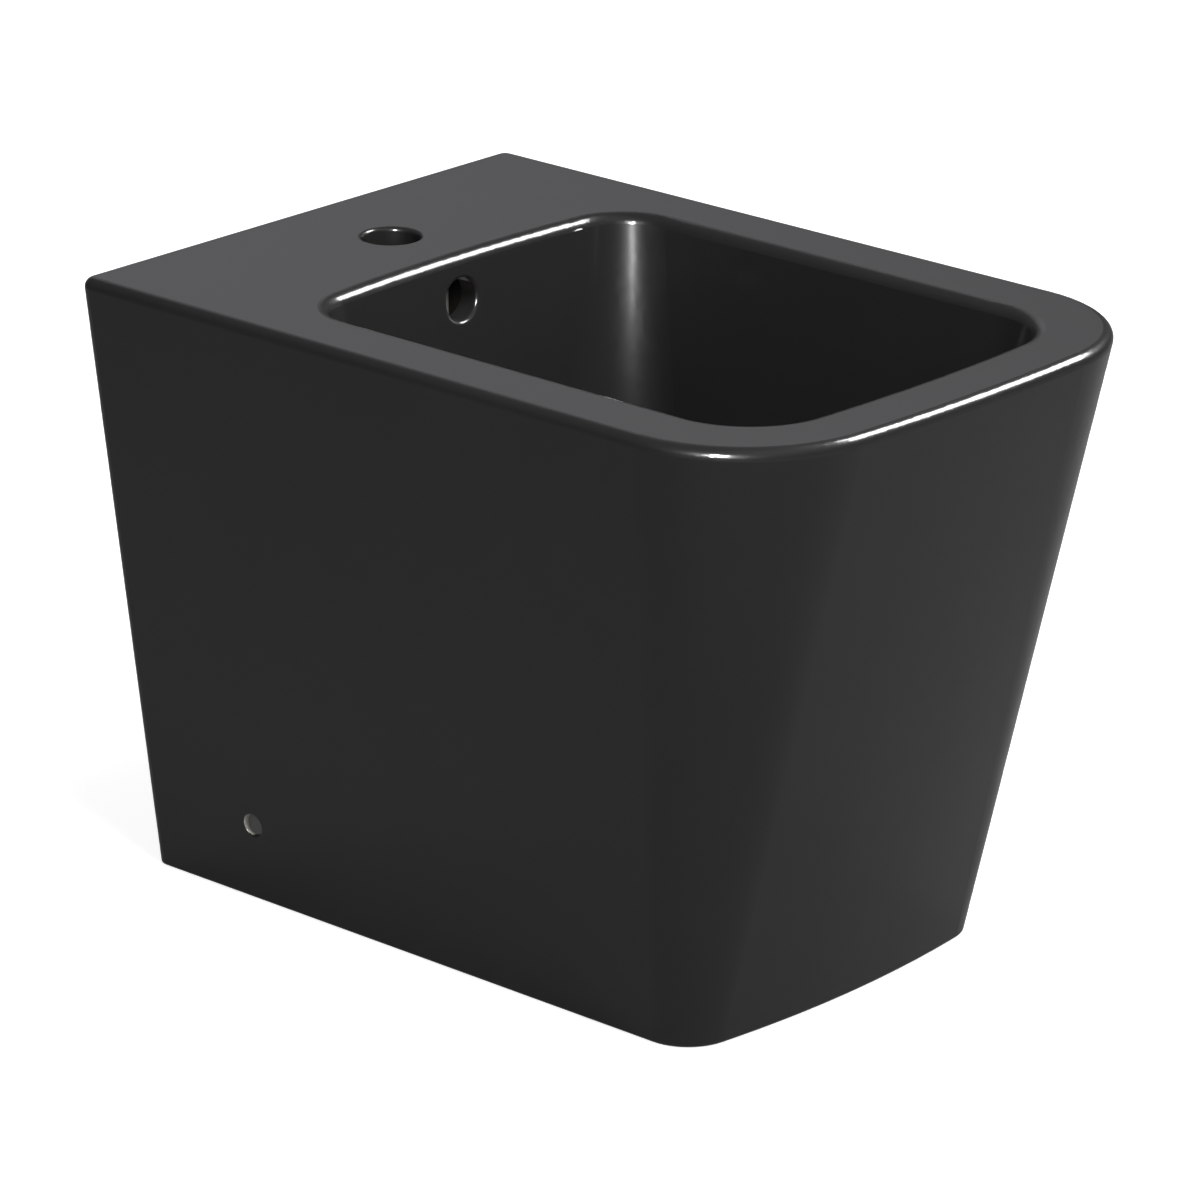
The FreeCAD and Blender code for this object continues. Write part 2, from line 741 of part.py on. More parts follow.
def waste_body():
    """Flanged tube with arms that carry the plug's cartridge, and windows for the overflow between them."""
    edge, flange = dim.flange_round, dim.flange_diameter / 2
    body = turned("waste_body", [
        (tube_inside, tail_end), (tube, tail_end), (tube, flange_under), (flange, flange_under),
        (flange, flange_top - edge, edge), (flange - edge, flange_top),
        (tube_inside + dim.waste_throat, flange_top), (tube_inside, flange_top - dim.waste_throat),
    ])
    hub, half_arm = dim.hub_bore / 2, dim.hub_arm / 2
    arm = new_sketch(body, "arm_outline", "XY_Plane", hub_top - dim.hub_height)
    arm_out, arm_in = tube_inside + dim.waste_wall / 2, hub + dim.hub_wall / 2
    draw_loop(arm, rectangle(-arm_out, -arm_in, -half_arm, half_arm))
    first_arm = extrude(body, "Pad", "arm", arm, dim.hub_height)
    doc.recompute()
    repeat_round(body, "arms", first_arm, count.hub_arms)
    eye = new_sketch(body, "hub_outline", "XY_Plane", hub_top - dim.hub_height)
    draw_circle(eye, 0, 0, dim.hub_bore)
    draw_circle(eye, 0, 0, dim.hub_bore + dim.hub_wall * 2)
    extrude(body, "Pad", "hub", eye, dim.hub_height)
    window = new_sketch(body, "window_outline", "YZ_Plane", tube + dim.through_cut)
    half_window = dim.window_width / 2
    low, high = chamber_bottom + dim.window_margin, chamber_top - dim.window_margin
    draw_loop(window, rectangle(-half_window, half_window, low, high))
    first_window = extrude(body, "Pocket", "window", window, tube / 2)
    doc.recompute()
    repeat_round(body, "windows", first_window, count.hub_arms)
    return at_waste(body)


def waste_fixings():
    inner = tube + dim.loose_gap
    outer = inner + dim.seal_width
    at_waste(ring("waste_flange_seal", inner, outer, seat, flange_under))
    bevel = dim.lower_seal_thickness / 2
    at_waste(turned("waste_lower_seal", [
        (inner, lower_seal_bottom), (outer, lower_seal_bottom), (outer, boss_bottom - bevel),
        (outer - bevel, boss_bottom), (inner, boss_bottom),
    ]))
    at_waste(ring("waste_washer", inner, outer, washer_bottom, lower_seal_bottom))
    nut = hex_nut("waste_back_nut", dim.back_nut_flats, dim.waste_diameter + dim.thread_gap * 2,
                  back_nut_bottom, dim.back_nut_height)
    at_waste(nut)


def hex_nut(label, flats, bore, low, height):
    body = new_body(label)
    outline = new_sketch(body, f"{label}_outline", "XY_Plane", low)
    draw_loop(outline, hexagon(flats))
    draw_circle(outline, 0, 0, bore)
    extrude(body, "Pad", f"{label}_solid", outline, height)
    return body


# Levels of the push-open plug
stem = dim.stem_diameter / 2
cartridge_top = hub_top + dim.cartridge_lip
bush_under = cartridge_top - dim.cartridge_bush
cartridge_bottom = hub_top - dim.cartridge_length
spring_floor = cartridge_bottom + dim.cartridge_floor
piston_top = bush_under - dim.loose_gap
piston_bottom = piston_top - dim.piston_height
cap_under = flange_top + dim.loose_gap + dim.plug_travel + dim.plug_seal_thickness
plug_boss_bottom = cap_under - dim.plug_boss_depth
stem_top = plug_boss_bottom + dim.stem_grip


def push_plug():
    barrel, bore = dim.hub_bore / 2 - dim.thread_gap, dim.cartridge_bore / 2
    lip, bush = dim.cartridge_flange / 2, stem + dim.running_gap
    at_waste(turned("click_cartridge", [
        (0, cartridge_bottom), (barrel, cartridge_bottom), (barrel, hub_top), (lip, hub_top),
        (lip, cartridge_top), (bush, cartridge_top), (bush, bush_under), (bore, bush_under),
        (bore, spring_floor), (0, spring_floor),
    ]))
    piston = dim.piston_diameter / 2
    at_waste(turned("plug_plunger", [
        (0, piston_bottom), (piston, piston_bottom), (piston, piston_top), (stem, piston_top),
        (stem, stem_top), (0, stem_top),
    ]))
    plug, boss = dim.plug_diameter / 2, dim.plug_boss / 2
    socket, socket_top = stem + dim.running_gap, stem_top + dim.loose_gap
    shoulder = cap_under + dim.plug_edge
    dome = bow_radius(plug, dim.plug_crown)
    at_waste(turned("plug_cap", [
        (socket, plug_boss_bottom), (boss, plug_boss_bottom), (boss, cap_under), (plug, cap_under),
        (plug, shoulder, dome), (0, shoulder + dim.plug_crown), (0, socket_top), (socket, socket_top),
    ]))
    outer = plug - dim.plug_seal_inset
    inner, under = outer - dim.plug_seal_width, cap_under - dim.plug_seal_thickness
    at_waste(ring("plug_seal", inner, outer, under, cap_under))
    at_waste(plug_spring())


def biarc(start, start_way, end, end_way):
    """Two tangent arcs from start to end that leave and arrive along the given unit directions."""
    span, ways = end - start, start_way + end_way
    turn = 2 * (1 - start_way.dot(end_way))
    reach = (math.sqrt(span.dot(ways) ** 2 + turn * span.dot(span)) - span.dot(ways)) / turn
    apexes = (start + start_way * reach, end - end_way * reach)
    joint = (apexes[0] + apexes[1]) / 2
    arcs = []
    for first, apex, last in ((start, apexes[0], joint), (joint, apexes[1], end)):
        middle = (first + last) / 2
        half_chord, drop = (last - first).Length / 2, (apex - middle).Length
        slant = math.atan2(drop, half_chord)
        bulge = half_chord * math.tan(slant / 2)
        arcs.append(Part.Arc(first, middle + (apex - middle) / drop * bulge, last).toShape())
    return arcs


def least_gap(points, apart, thickness):
    """Least clear distance between stretches of a tube whose points are at least so many apart."""
    pairs = ((first, second) for i, first in enumerate(points) for second in points[i + apart:])
    return min((first - second).Length for first, second in pairs) - thickness


def plug_spring():
    """A coil spring that stands on the cartridge's floor and carries the plunger."""
    wire = dim.spring_wire.value
    radius = dim.cartridge_bore.value / 2 - dim.loose_gap.value - wire / 2
    low = spring_floor.value + dim.loose_gap.value + wire / 2
    climb = piston_bottom.value - dim.loose_gap.value - wire / 2 - low
    turns = int(count.spring_turns.value)
    rise = climb / (turns * 2 * math.pi)
    arcs = []
    for quarter in range(turns * QUARTERS):
        ends = []
        for angle in (quarter * math.pi / 2, (quarter + 1) * math.pi / 2):
            flat = FreeCAD.Vector(math.cos(angle), math.sin(angle), 0)
            way = FreeCAD.Vector(-flat.y * radius, flat.x * radius, rise).normalize()
            ends += [flat * radius + FreeCAD.Vector(0, 0, low + rise * angle), way]
        arcs += biarc(*ends)
    path = Part.Wire(arcs)
    first = arcs[0].valueAt(arcs[0].FirstParameter)
    way = arcs[0].tangentAt(arcs[0].FirstParameter)
    section = Part.Wire([Part.makeCircle(wire / 2, first, way)])
    spring = doc.addObject("Part::Feature", "plug_spring")
    spring.Label = "plug_spring"
    spring.Shape = path.makePipeShell([section], True, False)
    points = path.discretize(turns * TURN_SAMPLES)
    print("least gap between spring coils", round(least_gap(points, TURN_SAMPLES // 2, wire), 2))
    sub_parts.append(spring)
    return spring


# Levels of the bottle trap, from the waste's tail down
trap = dim.trap_tube / 2
trap_inside = trap - dim.trap_wall
inlet_flange_top = tail_end - dim.inlet_washer_thickness
inlet_flange_under = inlet_flange_top - dim.inlet_flange_thickness
inlet_nut_bottom = inlet_flange_under - dim.nut_lip
collar = dim.collar_diameter / 2
collar_top = inlet_nut_bottom - dim.collar_gap - dim.nut_lip - dim.collar_seal_height
collar_bottom = collar_top - dim.collar_height
bottle = dim.bottle_diameter / 2
bottle_shoulder = collar_bottom - dim.bottle_shoulder
bottle_bottom = collar_bottom - dim.bottle_height
branch_z = collar_bottom - dim.branch_drop
dip_end = branch_z - trap_inside - dim.water_seal


def trap_inlet():
    outer = tube - dim.loose_gap
    at_waste(ring("trap_inlet_washer", trap, outer, inlet_flange_top, tail_end))
    at_waste(turned("trap_dip_tube", [
        (trap_inside, dip_end), (trap, dip_end), (trap, inlet_flange_under), (outer, inlet_flange_under),
        (outer, inlet_flange_top), (trap_inside, inlet_flange_top),
    ]))
    bore, hole = tube + dim.thread_gap, trap + dim.loose_gap
    skirt_top, outside = tail_end + dim.nut_skirt, tube + dim.thread_gap + dim.nut_wall
    nut = turned("trap_inlet_nut", [
        (hole, inlet_nut_bottom), (outside, inlet_nut_bottom), (outside, skirt_top), (bore, skirt_top),
        (bore, inlet_flange_under), (hole, inlet_flange_under),
    ])
    flutes(nut, outside, dim.nut_flute, inlet_nut_bottom, skirt_top, count.nut_flutes)
    at_waste(nut)


def compression_joint(name, face):
    """The nut and seal that close a collar round the pipe in it; face is the level of the collar's end."""
    lip_under = face + dim.collar_seal_height
    lip_top, skirt_bottom = lip_under + dim.nut_lip, face - dim.nut_skirt
    bore, hole = collar + dim.thread_gap, trap + dim.loose_gap
    outside = bore + dim.nut_wall
    nut = turned(f"{name}_nut", [
        (hole, lip_under), (bore, lip_under), (bore, skirt_bottom), (outside, skirt_bottom),
        (outside, lip_top), (hole, lip_top),
    ])
    flutes(nut, outside, dim.nut_flute, skirt_bottom, lip_top, count.nut_flutes)
    seal = ring(f"{name}_seal", trap + dim.thread_gap, collar - dim.loose_gap, face, lip_under)
    return nut, seal


def trap_bottle():
    body = new_body("trap_body")
    outside = new_sketch(body, "bottle_section", "XZ_Plane")
    draw_loop(outside, [(0, bottle_bottom), (bottle, bottle_bottom), (bottle, bottle_shoulder),
                        (collar, collar_bottom), (collar, collar_top), (0, collar_top)])
    spin(body, "Revolution", "bottle", outside)
    branch = new_sketch(body, "branch_outline", "XZ_Plane", -dim.branch_reach)
    draw_circle(branch, 0, branch_z, dim.collar_diameter)
    extrude(body, "Pad", "branch", branch, dim.branch_reach)
    chamber, hole = bottle - dim.bottle_wall, trap + dim.loose_gap
    inside = new_sketch(body, "chamber_section", "XZ_Plane")
    low, high = bottle_bottom - dim.through_cut, collar_top + dim.through_cut
    draw_loop(inside, [(0, low), (chamber, low), (chamber, bottle_shoulder), (hole, collar_bottom),
                       (hole, high), (0, high)])
    spin(body, "Groove", "chamber", inside)
    bore = new_sketch(body, "branch_bore_outline", "XZ_Plane", -chamber / 2)
    draw_circle(bore, 0, branch_z, dim.trap_tube + dim.loose_gap * 2)
    extrude(body, "Pocket", "branch_bore", bore, dim.branch_reach)
    at_waste(body)
    for piece in compression_joint("trap_collar", collar_top):
        at_waste(piece)


def trap_cleaning_cup():
    inside = bottle + dim.thread_gap
    outside, ledge = inside + dim.cup_wall, inside - dim.cup_ledge
    ledge_level = bottle_bottom - dim.cup_seal_height
    top, floor = bottle_bottom + dim.cup_overlap, dip_end - dim.cup_clearance
    under, bevel = floor - dim.cup_floor, dim.cup_wall
    cup = turned("trap_cup", [
        (0, under), (outside - bevel, under), (outside, under + bevel), (outside, top), (inside, top),
        (inside, ledge_level), (ledge, ledge_level), (ledge, floor), (0, floor),
    ])
    flutes(cup, outside, dim.nut_flute, under, top, count.cup_flutes)
    at_waste(cup)
    at_waste(ring("trap_cup_seal", ledge, inside - dim.loose_gap, ledge_level, bottle_bottom))


def trap_outlet():
    """The pipe from the bottle's branch back to the wall, with a bead that stops it at the nut.

    These pieces are turned upright and laid along Y.
    """
    start = dim.branch_reach - dim.pipe_insert
    end = rear - waste_y - dim.pipe_wall_gap
    bead_start = dim.branch_reach + dim.collar_seal_height + dim.nut_lip + dim.loose_gap
    bead, bead_end = trap + dim.pipe_bead_height, bead_start + dim.pipe_bead_width
    pipe = turned("outlet_pipe", [
        (trap_inside, start), (trap, start), (trap, bead_start), (bead, bead_start), (bead, bead_end),
        (trap, bead_end), (trap, end), (trap_inside, end),
    ])
    lay_back = FreeCAD.Rotation(FreeCAD.Vector(1, 0, 0), -90)
    for piece in (pipe, *compression_joint("trap_outlet", dim.branch_reach)):
        place(piece, y=waste_y, z=branch_z, rotation=lay_back)


# Side fixings: distances along X from the centre plane, outwards
boss_reach = dim.bracket_boss / 2
boss_end = outer_half(fixing_z - boss_reach) - dim.skin - dim.loose_gap
upright_out = half_base - dim.skin - dim.bracket_inset
upright_in = upright_out - dim.bracket_upright
sleeve_end = boss_end + dim.sleeve_length
head_end = sleeve_end + dim.screw_head_height
fixing_nut_in = upright_in - dim.fixing_nut_height


def floor_bracket(label):
    """An angle that is screwed to the floor, with a boss that reaches the casting's inside."""
    body = new_body(label)
    foot_in, half_width = upright_out - dim.bracket_foot, dim.bracket_width / 2
    angle = new_sketch(body, f"{label}_angle", "XZ_Plane", -half_width)
    draw_loop(angle, [(foot_in, 0), (upright_out, 0), (upright_out, dim.bracket_height),
                      (upright_in, dim.bracket_height), (upright_in, dim.bracket_plate),
                      (foot_in, dim.bracket_plate)])
    extrude(body, "Pad", f"{label}_solid", angle, dim.bracket_width)
    for name, lift in (("near", half_width - dim.bracket_rib), ("far", -half_width)):
        rib = new_sketch(body, f"{label}_{name}_outline", "XZ_Plane", lift)
        draw_loop(rib, [(foot_in, dim.bracket_plate), (upright_in, dim.bracket_plate),
                        (upright_in, dim.bracket_height)])
        extrude(body, "Pad", f"{label}_{name}_rib", rib, dim.bracket_rib)
    boss = new_sketch(body, f"{label}_boss_outline", "YZ_Plane", upright_in)
    draw_circle(boss, 0, fixing_z, dim.bracket_boss)
    extrude(body, "Pad", f"{label}_boss", boss, boss_end - upright_in)
    hole = new_sketch(body, f"{label}_screw_hole", "YZ_Plane", boss_end + dim.through_cut)
    draw_circle(hole, 0, fixing_z, dim.screw_diameter + dim.running_gap * 2)
    extrude(body, "Pocket", f"{label}_bore", hole, boss_end - upright_in + dim.through_cut * 2)
    floor = new_sketch(body, f"{label}_floor_hole", "XY_Plane", dim.bracket_plate + dim.through_cut)
    draw_circle(floor, upright_out - dim.floor_hole_inset, 0, dim.floor_hole)
    extrude(body, "Pocket", f"{label}_floor_bore", floor, dim.bracket_plate + dim.through_cut * 2)
    return body


def side_fixing(side, way):
    """Bracket, sleeve, screw, nut and cap of one side; way is 1 on the right and -1 on the left."""
    turn_out = FreeCAD.Rotation(FreeCAD.Vector(0, 0, 1), 0 if way > 0 else 180)
    place(floor_bracket(f"floor_bracket_{side}"), y=fixing_y, rotation=turn_out)
    screw, hole = dim.screw_diameter / 2, dim.side_hole / 2
    head, fit = dim.screw_head / 2, hole - dim.loose_gap
    tip = fixing_nut_in - dim.screw_beyond
    cap_inside = head + dim.loose_gap
    cap_floor = head_end + dim.loose_gap
    cap_face, edge = cap_floor + dim.cap_thickness, dim.cap_edge_radius
    skirt_end = cap_floor - dim.cap_skirt
    pieces = [
        ring(f"fixing_sleeve_{side}", screw + dim.loose_gap, fit, boss_end, sleeve_end),
        turned(f"fixing_screw_{side}", [
            (0, tip), (screw, tip), (screw, sleeve_end), (head, sleeve_end), (head, head_end), (0, head_end),
        ]),
        hex_nut(f"fixing_nut_{side}", dim.fixing_nut_flats, dim.screw_diameter + dim.running_gap * 2,
                fixing_nut_in, dim.fixing_nut_height),
        turned(f"fixing_cap_{side}", [
            (cap_inside, skirt_end), (fit, skirt_end), (fit, cap_face - edge, edge),
            (fit - edge, cap_face), (0, cap_face), (0, cap_floor), (cap_inside, cap_floor),
        ]),
    ]
    outward = FreeCAD.Rotation(FreeCAD.Vector(0, 1, 0), 90 * way)
    for piece in pieces:
        place(piece, y=fixing_y, z=fixing_z, rotation=outward)


ceramic_body()
waste_body()
waste_fixings()
push_plug()
trap_inlet()
trap_bottle()
trap_cleaning_cup()
trap_outlet()
for side, way in (("left", -1), ("right", 1)):
    side_fixing(side, way)
doc.recompute()

# Every feature has to be sound before anything is written
for item in doc.Objects:
    if "Invalid" in item.State or "Error" in item.State:
        raise RuntimeError(f"{item.Name} failed: {item.State}")
for piece in sub_parts:
    if piece.Shape.isNull() or not piece.Shape.isValid() or len(piece.Shape.Solids) != 1:
        raise RuntimeError(f"{piece.Label} is not one sound solid")
os.makedirs("parts", exist_ok=True)
for piece in sub_parts:
    piece.Shape.exportStep(f"parts/{piece.Label}.step")
print(len(sub_parts), "pieces written")
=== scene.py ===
import json
import math

import bpy
from mathutils import Matrix, Quaternion, Vector


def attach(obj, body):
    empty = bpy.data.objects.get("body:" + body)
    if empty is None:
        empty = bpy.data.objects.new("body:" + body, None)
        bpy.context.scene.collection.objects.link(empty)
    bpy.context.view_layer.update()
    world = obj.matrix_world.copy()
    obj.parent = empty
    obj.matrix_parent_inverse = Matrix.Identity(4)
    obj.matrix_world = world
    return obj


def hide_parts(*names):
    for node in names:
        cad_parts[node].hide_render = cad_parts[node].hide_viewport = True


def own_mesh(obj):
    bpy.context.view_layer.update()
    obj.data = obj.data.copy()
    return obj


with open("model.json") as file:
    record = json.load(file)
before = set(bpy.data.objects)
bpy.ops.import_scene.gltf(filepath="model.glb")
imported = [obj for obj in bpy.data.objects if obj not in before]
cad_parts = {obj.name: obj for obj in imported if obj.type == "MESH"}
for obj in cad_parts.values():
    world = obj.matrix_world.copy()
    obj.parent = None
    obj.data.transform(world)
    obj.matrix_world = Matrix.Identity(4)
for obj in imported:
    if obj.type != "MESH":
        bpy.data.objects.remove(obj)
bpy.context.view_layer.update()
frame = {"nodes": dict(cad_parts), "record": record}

# Outline of the casting, in metres, for the masks that tell glazed from bare clay
HEIGHT = 0.380
MOUTH_HALF_WIDTH = 0.145
MOUTH_REAR = 0.142
MOUTH_FRONT_TOP = -0.236
MOUTH_FRONT_LEAN = 0.23
BOWL_LEVEL = 0.218
RIM_LEVEL = HEIGHT - 0.0135
CEILING_LEVEL = 0.3
FOOT_RING_LEVEL = 0.0008
PEDESTAL_MIDDLE_Y = -0.02
# A face looks inward when its normal times its place falls below this
INWARD_LIMIT = -0.02
CEILING_NORMAL_Z = -0.7

# Linear colours of the casting
GLAZE_DARK = (0.0156, 0.0155, 0.0153)
GLAZE_PALE = (0.0188, 0.0186, 0.0182)
GLAZE_EDGE = (0.032, 0.0310, 0.0298)
CLAY_DARK = (0.36, 0.33, 0.29)
CLAY_PALE = (0.52, 0.49, 0.44)

# Studio: floor colours as the camera and as other rays see them, and the levels of glow and room
FLOOR_LOW = (0.53, 0.53, 0.53)
FLOOR_HIGH = (0.56, 0.56, 0.56)
FLOOR_FOR_OTHER_RAYS = (0.34, 0.34, 0.34)
FLOOR_SIZE = 60.0
FLOOR_DROP = 0.0004
MIRRORED_FLOOR_GLOW = 0.08
WHITE = (1.0, 1.0, 1.0)
MIRRORED_TINT = (0.95, 0.955, 1.0)
TO_REAR_WALL = (0.567, 0.676, 0.469)
SHADE_LEVEL = 0.2
LAMP_TARGET = (0.0, 0.0, 0.25)

# Camera fitted to the photo
SENSOR_MM = 36.0
LENS_MM = 200.64
CAMERA_PLACE = (-2.7093, -2.4494, 1.5185)
CAMERA_RIGHT = (0.6735, -0.7392, 0.0)
CAMERA_UP = (0.2515, 0.2291, 0.9403)

# Colour sockets of the Mix node, whose names repeat
MIX_FIRST = 6
MIX_SECOND = 7
MIX_RESULT = 2
# Cosine of the turn that counts as a full edge
FULL_EDGE = 0.86


class Nodes:
    """The node tree of a material or world, with short calls that add and join nodes."""

    def __init__(self, owner, shader="Principled BSDF"):
        owner.use_nodes = True
        self.owner = owner
        self.tree = owner.node_tree
        self.shader = self.tree.nodes[shader]

    def add(self, kind, **settings):
        node = self.tree.nodes.new(kind)
        for key, value in settings.items():
            setattr(node, key, value)
        return node

    def feed(self, socket, value):
        if isinstance(value, bpy.types.NodeSocket):
            self.tree.links.new(value, socket)
        else:
            socket.default_value = value

    def math(self, operation, first, second):
        node = self.add("ShaderNodeMath", operation=operation)
        self.feed(node.inputs[0], first)
        self.feed(node.inputs[1], second)
        return node.outputs[0]

    def product(self, first, *others):
        for other in others:
            first = self.math("MULTIPLY", first, other)
        return first

    def inverse(self, value):
        return self.math("SUBTRACT", 1.0, value)

    def blend(self, first, second, share):
        """A share of the first value and the rest of the second."""
        return self.math("ADD", self.product(first, share), self.product(second, 1.0 - share))

    def position(self):
        return self.add("ShaderNodeTexCoord").outputs["Object"]

    def axes(self, vector):
        node = self.add("ShaderNodeSeparateXYZ")
        self.feed(node.inputs[0], vector)
        return node.outputs[0], node.outputs[1], node.outputs[2]

    def stretched(self, vector, scale):
        node = self.add("ShaderNodeMapping")
        self.feed(node.inputs["Vector"], vector)
        node.inputs["Scale"].default_value = scale
        return node.outputs[0]

    def noise(self, vector, scale, detail, roughness=0.5):
        node = self.add("ShaderNodeTexNoise")
        self.feed(node.inputs["Vector"], vector)
        node.inputs["Scale"].default_value = scale
        node.inputs["Detail"].default_value = detail
        node.inputs["Roughness"].default_value = roughness
        return node.outputs["Fac"]

    def remap(self, value, low, high, to_low, to_high):
        node = self.add("ShaderNodeMapRange")
        for socket, amount in zip(node.inputs, (value, low, high, to_low, to_high)):
            self.feed(socket, amount)
        return node.outputs[0]

    def mix(self, factor, first, second):
        node = self.add("ShaderNodeMix", data_type="RGBA")
        self.feed(node.inputs["Factor"], factor)
        for socket, colour in ((MIX_FIRST, first), (MIX_SECOND, second)):
            self.feed(node.inputs[socket], (*colour, 1.0) if isinstance(colour, tuple) else colour)
        return node.outputs[MIX_RESULT]

    def vector_math(self, operation, first, second=None):
        """The number that a vector operation gives."""
        node = self.add("ShaderNodeVectorMath", operation=operation)
        self.feed(node.inputs[0], first)
        if second is not None:
            self.feed(node.inputs[1], second)
        return node.outputs["Value"]

    def edge(self, radius):
        """How sharply the surface turns within a radius: 0 on flats and near 1 on edges."""
        bevel = self.add("ShaderNodeBevel", samples=4)
        bevel.inputs["Radius"].default_value = radius
        normal = self.add("ShaderNodeNewGeometry").outputs["Normal"]
        turn = self.vector_math("DOT_PRODUCT", bevel.outputs[0], normal)
        return self.remap(turn, low=1.0, high=FULL_EDGE, to_low=0.0, to_high=1.0)

    def bump(self, height, strength, distance, normal=None):
        node = self.add("ShaderNodeBump")
        self.feed(node.inputs["Height"], height)
        node.inputs["Strength"].default_value = strength
        node.inputs["Distance"].default_value = distance
        if normal is not None:
            self.feed(node.inputs["Normal"], normal)
        return node.outputs[0]

    def finish(self, **inputs):
        for name, value in inputs.items():
            socket = self.shader.inputs[name.replace("_", " ")]
            self.feed(socket, (*value, 1.0) if isinstance(value, tuple) else value)
        return self.owner


def material_nodes(name):
    return Nodes(bpy.data.materials.new(name))


def bare_clay(nodes, place):
    """1 on the unglazed inside of the pedestal and the ring it stands on, 0 on the glaze."""
    x, y, z = nodes.axes(place)
    normal = nodes.add("ShaderNodeNewGeometry").outputs["True Normal"]
    nx, ny, nz = nodes.axes(normal)
    along = nodes.product(ny, nodes.math("SUBTRACT", y, PEDESTAL_MIDDLE_Y))
    inward = nodes.math("ADD", nodes.product(nx, x), along)
    turned_in = nodes.math("LESS_THAN", inward, INWARD_LIMIT)
    mouth_front = nodes.math("SUBTRACT", MOUTH_FRONT_TOP + HEIGHT * MOUTH_FRONT_LEAN,
                             nodes.product(z, MOUTH_FRONT_LEAN))
    in_basin = nodes.product(
        nodes.math("LESS_THAN", nodes.math("ABSOLUTE", x, 0.0), MOUTH_HALF_WIDTH),
        nodes.math("GREATER_THAN", z, BOWL_LEVEL),
        nodes.math("LESS_THAN", y, MOUTH_REAR),
        nodes.math("GREATER_THAN", y, mouth_front))
    on_rim = nodes.math("GREATER_THAN", z, RIM_LEVEL)
    inside = nodes.product(turned_in, nodes.inverse(in_basin), nodes.inverse(on_rim))
    ceiling = nodes.product(nodes.math("LESS_THAN", nz, CEILING_NORMAL_Z),
                            nodes.math("GREATER_THAN", z, CEILING_LEVEL))
    ring = nodes.math("LESS_THAN", z, FOOT_RING_LEVEL)
    return nodes.math("MAXIMUM", nodes.math("MAXIMUM", inside, ceiling), ring)


def glaze_black():
    """Satin black: a dark ground with a faint broad sheen under a thin clear coat, and bare clay inside."""
    nodes = material_nodes("satin_black_glaze")
    place = nodes.position()
    cloud = nodes.noise(place, scale=9.0, detail=4.0)
    speck = nodes.noise(place, scale=900.0, detail=2.0, roughness=0.6)
    grain = nodes.noise(place, scale=260.0, detail=6.0, roughness=0.7)
    edge = nodes.edge(radius=0.004)
    clay = bare_clay(nodes, place)
    # The sharply turned edges are mixed toward the paler GLAZE_EDGE colour.
    edge_paling = 0.4
    glaze = nodes.mix(cloud, GLAZE_DARK, GLAZE_PALE)
    glaze = nodes.mix(nodes.product(edge, edge_paling), glaze, GLAZE_EDGE)
    body = nodes.mix(grain, CLAY_DARK, CLAY_PALE)
    clay_roughness = 0.6
    smooth = nodes.remap(nodes.blend(cloud, speck, share=0.7), low=0.3, high=0.7, to_low=0.12, to_high=0.17)
    smooth = nodes.math("ADD", smooth, nodes.product(clay, clay_roughness))
    waves = nodes.noise(place, scale=26.0, detail=1.0)
    pits = nodes.noise(place, scale=420.0, detail=1.0)
    skin = nodes.bump(waves, strength=0.03, distance=0.002)
    skin = nodes.bump(nodes.product(grain, clay), strength=0.5, distance=0.0006, normal=skin)
    skin = nodes.bump(pits, strength=0.02, distance=0.0003, normal=skin)
    return nodes.finish(Base_Color=nodes.mix(clay, glaze, body), Roughness=0.36, Specular_IOR_Level=0.05,
                        Normal=skin, Coat_Weight=0.36, Coat_Roughness=smooth, Coat_IOR=1.5, Coat_Normal=skin)


def metal(name, dull, bright, smooth, grain, brushed):
    """Metal with brushed lines, a cloudy tone, and a painted highlight that lightens its edges."""
    nodes = material_nodes(name)
    place = nodes.position()
    cloud = nodes.noise(place, scale=60.0, detail=4.0)
    lines = nodes.noise(nodes.stretched(place, brushed), scale=grain, detail=3.0)
    edge = nodes.edge(radius=0.0012)
    # Painted highlight: the edges are lightened toward the bright colour, as if they shone.
    painted_edge_highlight = 0.6
    colour = nodes.mix(nodes.math("MAXIMUM", nodes.product(edge, painted_edge_highlight), cloud), dull, bright)
    rough = nodes.remap(nodes.blend(lines, cloud, share=0.6), low=0.3, high=0.7,
                        to_low=smooth, to_high=smooth + 0.14)
    skin = nodes.bump(lines, strength=0.08, distance=0.0002)
    return nodes.finish(Base_Color=colour, Roughness=rough, Normal=skin, Metallic=1.0)


def moulded(name, dark, pale, worn, smooth, texture, depth):
    """Moulded plastic or rubber with a fine grain and paler worn edges."""
    nodes = material_nodes(name)
    place = nodes.position()
    cloud = nodes.noise(place, scale=35.0, detail=4.0)
    grain = nodes.noise(place, scale=texture, detail=2.0)
    edge = nodes.edge(radius=0.001)
    edge_paling = 0.45
    colour = nodes.mix(nodes.product(edge, edge_paling), nodes.mix(cloud, dark, pale), worn)
    rough = nodes.remap(nodes.blend(cloud, grain, share=0.5), low=0.3, high=0.7,
                        to_low=smooth, to_high=smooth + 0.12)
    skin = nodes.bump(grain, strength=0.15, distance=depth)
    return nodes.finish(Base_Color=colour, Roughness=rough, Normal=skin)


